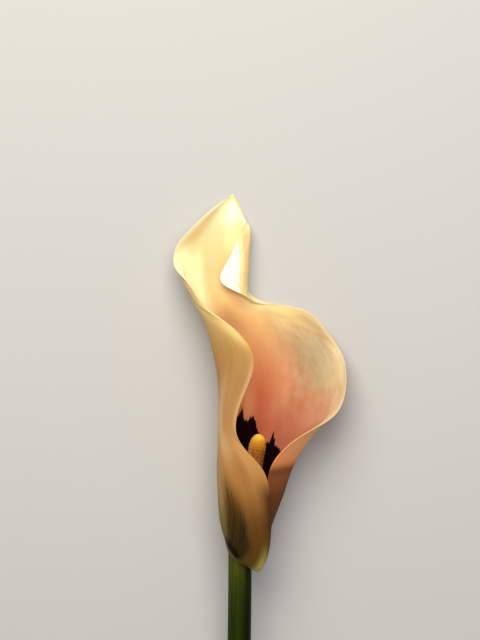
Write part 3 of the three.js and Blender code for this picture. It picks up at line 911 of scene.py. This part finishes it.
@dataclass
class Rod:
    """A rod along a path, whose ends close in a pole."""

    name: str
    sides: int

    def surface(self, centres: np.ndarray, radius: np.ndarray) -> np.ndarray:
        """Place the rod's skin.

        A point is the path's point plus radius * (side cos a + up sin a), where side lies nearest to the flower's X
        and up is the path's direction crossed with side.

        Args:
            centres: The path's points in metres.
            radius: Radius as (path point, side).

        Returns:
            Points as (path point, side, axis).
        """
        heading = np.gradient(centres, axis=0)
        heading /= np.linalg.norm(heading, axis=1, keepdims=True)
        side = np.array([1.0, 0.0, 0.0]) - heading * heading[:, :1]
        side /= np.linalg.norm(side, axis=1, keepdims=True)
        up = np.cross(heading, side)
        angle = 2 * np.pi * np.arange(self.sides) / self.sides
        ring = side[:, None] * np.cos(angle)[None, :, None] + up[:, None] * np.sin(angle)[None, :, None]
        return centres[:, None] + radius[..., None] * ring

    def close(self, skin: np.ndarray, first_pole: np.ndarray, last_pole: np.ndarray) -> tuple[np.ndarray, list]:
        """Close a skin with a pole at each end.

        Args:
            skin: Points as (path point, side, axis).
            first_pole: The point that closes the first ring.
            last_pole: The point that closes the last ring.

        Returns:
            All points, and the corners of each face.
        """
        points = np.concatenate([skin.reshape(-1, 3), first_pole[None], last_pole[None]])
        start, end = len(points) - 2, len(points) - 1
        grid = np.arange(start).reshape(skin.shape[:2])
        grid = np.concatenate([grid, grid[:, :1]], axis=1)
        first_fan = np.stack([np.full(self.sides, start), grid[0, 1:], grid[0, :-1]], axis=1)
        last_fan = np.stack([np.full(self.sides, end), grid[-1, :-1], grid[-1, 1:]], axis=1)
        return points, [*grid_quads(grid).tolist(), *first_fan.tolist(), *last_fan.tolist()]

    def pattern(self, along: np.ndarray) -> np.ndarray:
        """Give each point its pattern place: round the rod and back, so that no seam shows, and along it.

        Args:
            along: Each ring's place along the rod.

        Returns:
            Places as (point, 2), with the two poles last.
        """
        turn = 1 - np.abs(2 * np.arange(self.sides) / self.sides - 1)
        uv = np.stack(np.meshgrid(turn, along), axis=-1).reshape(-1, 2)
        return np.concatenate([uv, [[0.5, along[0]], [0.5, along[-1]]]])


@dataclass
class Stem(Rod):
    """The stem: straight in the spathe's foot, then bowed down until its cut end lies on the floor."""

    name: str = "stem_stalk"
    sides: int = 72
    rings: int = 240
    diameter: float = 7.5 * MM
    neck_diameter: float = 6.6 * MM
    shoulder_length: float = 2.5 * MM
    length: float = 111 * MM
    top: float = 8 * UNIT
    drift: float = -8 * UNIT
    foot_handle: float = 0.32
    cut_handle: tuple[float, float] = (0.6, 0.62)
    sink: float = 0.1 * MM
    path_steps: int = 2000
    cap_rings: int = 10
    cap_bulge: float = 0.15 * MM
    cap_steepness: float = 3.0
    skin_finish: type[Finish] = StemFinish
    cut_finish: type[Finish] = CutFinish

    def path(self) -> np.ndarray:
        """Run one cubic curve with two handles, which keep its ends straight.

        The first end, the handles and the last end count with shares of (1 - t)^3, 3 t (1 - t)^2, 3 t^2 (1 - t), t^3.

        Returns:
            Evenly spaced points in metres, one for each ring.
        """
        rest = FLOOR + self.diameter / 2 - self.sink
        aside, back = self.cut_handle
        handles = np.array([
            [0, self.top, 0],
            [0, -self.length * self.foot_handle, 0],
            [self.drift * aside, -self.length * back, rest],
            [self.drift, -self.length, rest],
        ])
        t = np.linspace(0, 1, self.path_steps)[:, None]
        curve = (1 - t) ** 3 * handles[0] + 3 * t * (1 - t) ** 2 * handles[1]
        curve = curve + 3 * t**2 * (1 - t) * handles[2] + t**3 * handles[3]
        travelled = np.concatenate([[0], np.cumsum(np.linalg.norm(np.diff(curve, axis=0), axis=1))])
        even = np.linspace(0, travelled[-1], self.rings)
        return np.stack([np.interp(even, travelled, curve[:, axis]) for axis in range(3)], axis=1) + ORIGIN_SHIFT

    def build(self) -> bpy.types.Object:
        """Build the stem and dress its skin and its cut face.

        The radius eases from the neck's to the stem's where the foot of the spathe ends. The cut face is the last
        rings drawn in to the middle. It bulges slightly, rising as a quarter ellipse over its outer third.

        Returns:
            The finished piece.
        """
        centres = self.path()
        distance = np.linspace(0, 1, self.rings) * (self.length + self.top)
        turn = 2 * np.pi * np.arange(self.sides) / self.sides
        foot_line = self.top - foot_along(FOOT_RADIUS * np.cos(turn)) * UNIT
        share = smoothstep(1 + (distance[:, None] - foot_line) / self.shoulder_length)
        radius = (self.neck_diameter + (self.diameter - self.neck_diameter) * share) / 2
        inward = np.linspace(0, 1, self.cap_rings + 2)[1:-1]
        cap_profile = self.diameter / 2 * (1 - inward)
        heading = centres[-1] - centres[-2]
        heading /= np.linalg.norm(heading)
        rise = np.sqrt(1 - (1 - np.minimum(inward * self.cap_steepness, 1)) ** 2)
        cap_centres = centres[-1] + heading * (self.cap_bulge * rise)[:, None]
        body = self.surface(centres, radius)
        ring = (body[-1] - centres[-1]) / (self.diameter / 2)
        cap = cap_centres[:, None] + cap_profile[:, None, None] * ring[None]
        skin = np.concatenate([body, cap])
        skin[..., 2] = np.maximum(skin[..., 2], 0)
        points, faces = self.close(skin, centres[0], cap_centres[-1])
        along = np.concatenate([np.linspace(0, 1, self.rings), inward])
        cut_start = (self.rings - 1) * self.sides
        slots = np.zeros(len(faces), int)
        slots[cut_start:cut_start + self.cap_rings * self.sides] = 1
        slots[-self.sides:] = 1
        materials = [self.skin_finish().build(), self.cut_finish().build()]
        return mesh_piece(self.name, points, faces, self.pattern(along), materials, slots)


@dataclass
class Spadix(Rod):
    """The spadix: a leaning rod with a long round top, covered with staggered florets."""

    name: str = "spadix_rod"
    sides: int = 180
    rings: int = 480
    length: float = 38 * MM
    diameter: float = 5.8 * MM
    foot_diameter: float = 4.2 * MM
    dome: float = 4.8 * MM
    floret_height: float = 0.42 * MM
    floret_pitch: float = 1.05 * MM
    floret_reach: float = 0.66
    florets_around: int = 14
    floret_shift: float = 0.16
    floret_swell: float = 0.15
    bud_share: float = 0.45
    bud_length: float = 7 * MM
    seat: float = 8 * UNIT + 0.3 * MM
    lean: tuple[float, float, float] = (19.5, 118, 2)
    crowding: float = 1.25
    last_ring: float = 0.9995
    least_radius: float = 0.05 * MM
    pole_height: float = 0.02 * MM
    seed: int = 7
    finish: type[Finish] = FloretFinish

    def heads(self, distance: np.ndarray, angle: np.ndarray) -> np.ndarray:
        """Work out the relief of the florets' round heads.

        The heads stand in staggered rows, each moved a little by a seeded draw. A head is the half ball
        sqrt(1 - d^2), with d its distance over its reach, and the highest of nine near heads counts.

        Args:
            distance: Distance from the foot, as a column.
            angle: Angle round the rod, as a row.

        Returns:
            Heights from 0 to 1 as (distance, angle).
        """
        rows = int(self.length / self.floret_pitch) + 4
        draw = np.random.default_rng(self.seed).uniform(-1, 1, (3, rows, self.florets_around))
        place = distance / self.floret_pitch
        turn = angle * self.florets_around / (2 * np.pi)
        relief = np.zeros(np.broadcast_shapes(distance.shape, angle.shape))
        for row_step in (-1, 0, 1):
            row = np.floor(place).astype(int) + row_step
            stagger = 0.5 * (row % 2)
            for column_step in (-1, 0, 1):
                column = np.floor(turn - stagger).astype(int) + column_step
                shift, swing, swell = draw[:, row + 1, column % self.florets_around]
                off_along = place - row - 0.5 - self.floret_shift * shift
                off_round = turn - column - 0.5 - stagger - self.floret_shift * swing
                away = np.hypot(off_along, off_round) / self.floret_reach
                size = 1 - self.floret_swell + self.floret_swell * swell
                relief = np.maximum(relief, np.sqrt(np.clip(1 - away**2, 0, 1)) * size)
        return relief

    def build(self) -> bpy.types.Object:
        """Build the spadix.

        The radius widens from the foot to the middle and closes as a half ellipse at the top. The florets' relief is
        lower near the top, where they are still closed.

        Returns:
            The finished piece.
        """
        aim = np.array(self.lean)
        aim /= np.linalg.norm(aim)
        share = 1 - (1 - np.linspace(0, 1, self.rings)) ** self.crowding
        share[-1] = self.last_ring
        distance = (share * self.length)[:, None]
        foot = np.array([0, self.seat, 0]) + ORIGIN_SHIFT
        centres = foot + distance * aim
        angle = (2 * np.pi * np.arange(self.sides) / self.sides)[None, :]
        widening = (self.diameter - self.foot_diameter) * smoothstep(2 * distance / self.length)
        full = (self.foot_diameter + widening) / 2
        into_dome = np.clip((distance - self.length + self.dome) / self.dome, 0, 1)
        roundness = np.sqrt(1 - into_dome**2)
        relief = self.heads(distance, angle) * np.minimum(1, 2 * roundness)
        open_share = smoothstep((self.length - distance) / self.bud_length)
        height = self.floret_height * (self.bud_share + (1 - self.bud_share) * open_share)
        radius = np.maximum((full - height / 2) * roundness + height * (relief - 0.5), self.least_radius)
        skin = self.surface(centres, radius)
        points, faces = self.close(skin, centres[0], centres[-1] + aim * self.pole_height)
        raised = np.concatenate([np.broadcast_to(relief, radius.shape).ravel(), [0.5, 0.5]])
        uv, attributes = self.pattern(share), {"relief": raised}
        return mesh_piece(self.name, points, faces, uv, [self.finish().build()], attributes=attributes)


@dataclass
class Studio:
    """A plain pale floor, soft light and a camera that looks straight down on the bloom."""

    picture_height: int = 640
    foot_down: float = 560
    camera_distance: float = 1.5
    sensor: float = 36.0
    floor_size: float = 8.0
    floor_colour: ScreenColour = (205, 203, 200)
    floor_roughness: float = 0.9
    target: tuple[float, float, float] = (0.0, 0.06, 0.0)

    def build_floor(self) -> None:
        """Lay the floor."""
        half = self.floor_size / 2
        mesh = bpy.data.meshes.new("floor")
        mesh.from_pydata([(-half, -half, 0), (half, -half, 0), (half, half, 0), (-half, half, 0)], [], [(0, 1, 2, 3)])
        material = bpy.data.materials.new("pale_floor")
        material.use_nodes = True
        shader = material.node_tree.nodes["Principled BSDF"]
        shader.inputs["Base Color"].default_value = srgb(*self.floor_colour)
        shader.inputs["Roughness"].default_value = self.floor_roughness
        mesh.materials.append(material)
        add_object("floor", mesh)

    def add_light(self, name: str, place: tuple, size: float, watts: float, colour: tuple) -> None:
        """Add a soft area light that faces the bloom and doesn't show in the picture.

        Args:
            name: The light's name.
            place: Where it stands, in metres.
            size: Its side, in metres.
            watts: Its power.
            colour: Its colour.
        """
        data = bpy.data.lights.new(name, "AREA")
        data.size = size
        data.energy = watts
        data.color = colour
        light = add_object(name, data)
        light.visible_camera = False
        light.location = place
        way = np.array(self.target) - np.array(place)
        pitch = math.acos(-way[2] / np.linalg.norm(way))
        light.rotation_euler = (pitch, 0, math.atan2(way[1], way[0]) - math.pi / 2)

    def build_lights(self) -> None:
        """Add the soft key light from beyond the tip, a weak fill and an even surround."""
        self.add_light("key", place=(-0.07, 0.40, 0.47), size=0.52, watts=3.8, colour=(1.0, 0.945, 0.85))
        self.add_light("fill", place=(0.2, 0.05, 1.0), size=0.7, watts=2.2, colour=(0.95, 0.97, 1.0))
        world = bpy.data.worlds.new("surround")
        world.use_nodes = True
        surround = world.node_tree.nodes["Background"].inputs
        surround["Color"].default_value = (0.9, 0.92, 0.95, 1.0)
        surround["Strength"].default_value = 0.25
        bpy.context.scene.world = world
        bpy.context.scene.view_settings.view_transform = "Standard"

    def build_camera(self) -> None:
        """Add the camera, straight above the middle of the picture, with a long lens."""
        along = (self.foot_down - self.picture_height / 2) * UNIT
        data = bpy.data.cameras.new("camera")
        data.sensor_width = self.sensor
        data.lens = self.sensor * self.camera_distance / (self.picture_height * UNIT)
        camera = add_object("camera", data)
        camera.location = np.array([0, along, self.camera_distance]) + ORIGIN_SHIFT
        bpy.context.scene.camera = camera

    def build(self) -> None:
        """Set the whole studio."""
        self.build_floor()
        self.build_lights()
        self.build_camera()


def place_piece(piece: bpy.types.Object, node: str) -> None:
    """Make a piece ride on the flower in the place of a node, and report it.

    Args:
        piece: The finished piece.
        node: The name of the node.
    """
    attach(piece, "root")
    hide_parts(node)
    log.info("%s: %d points, %d faces", piece.name, len(piece.data.vertices), len(piece.data.polygons))


def main() -> None:
    """Build the flower and its studio."""
    logging.basicConfig(level=logging.INFO)
    build_noise_group()
    place_piece(Stem().build(), "stem")
    place_piece(Spathe().build(), "spathe")
    place_piece(Spadix().build(), "spadix")
    Studio().build()


if __name__ == "__main__":
    main()
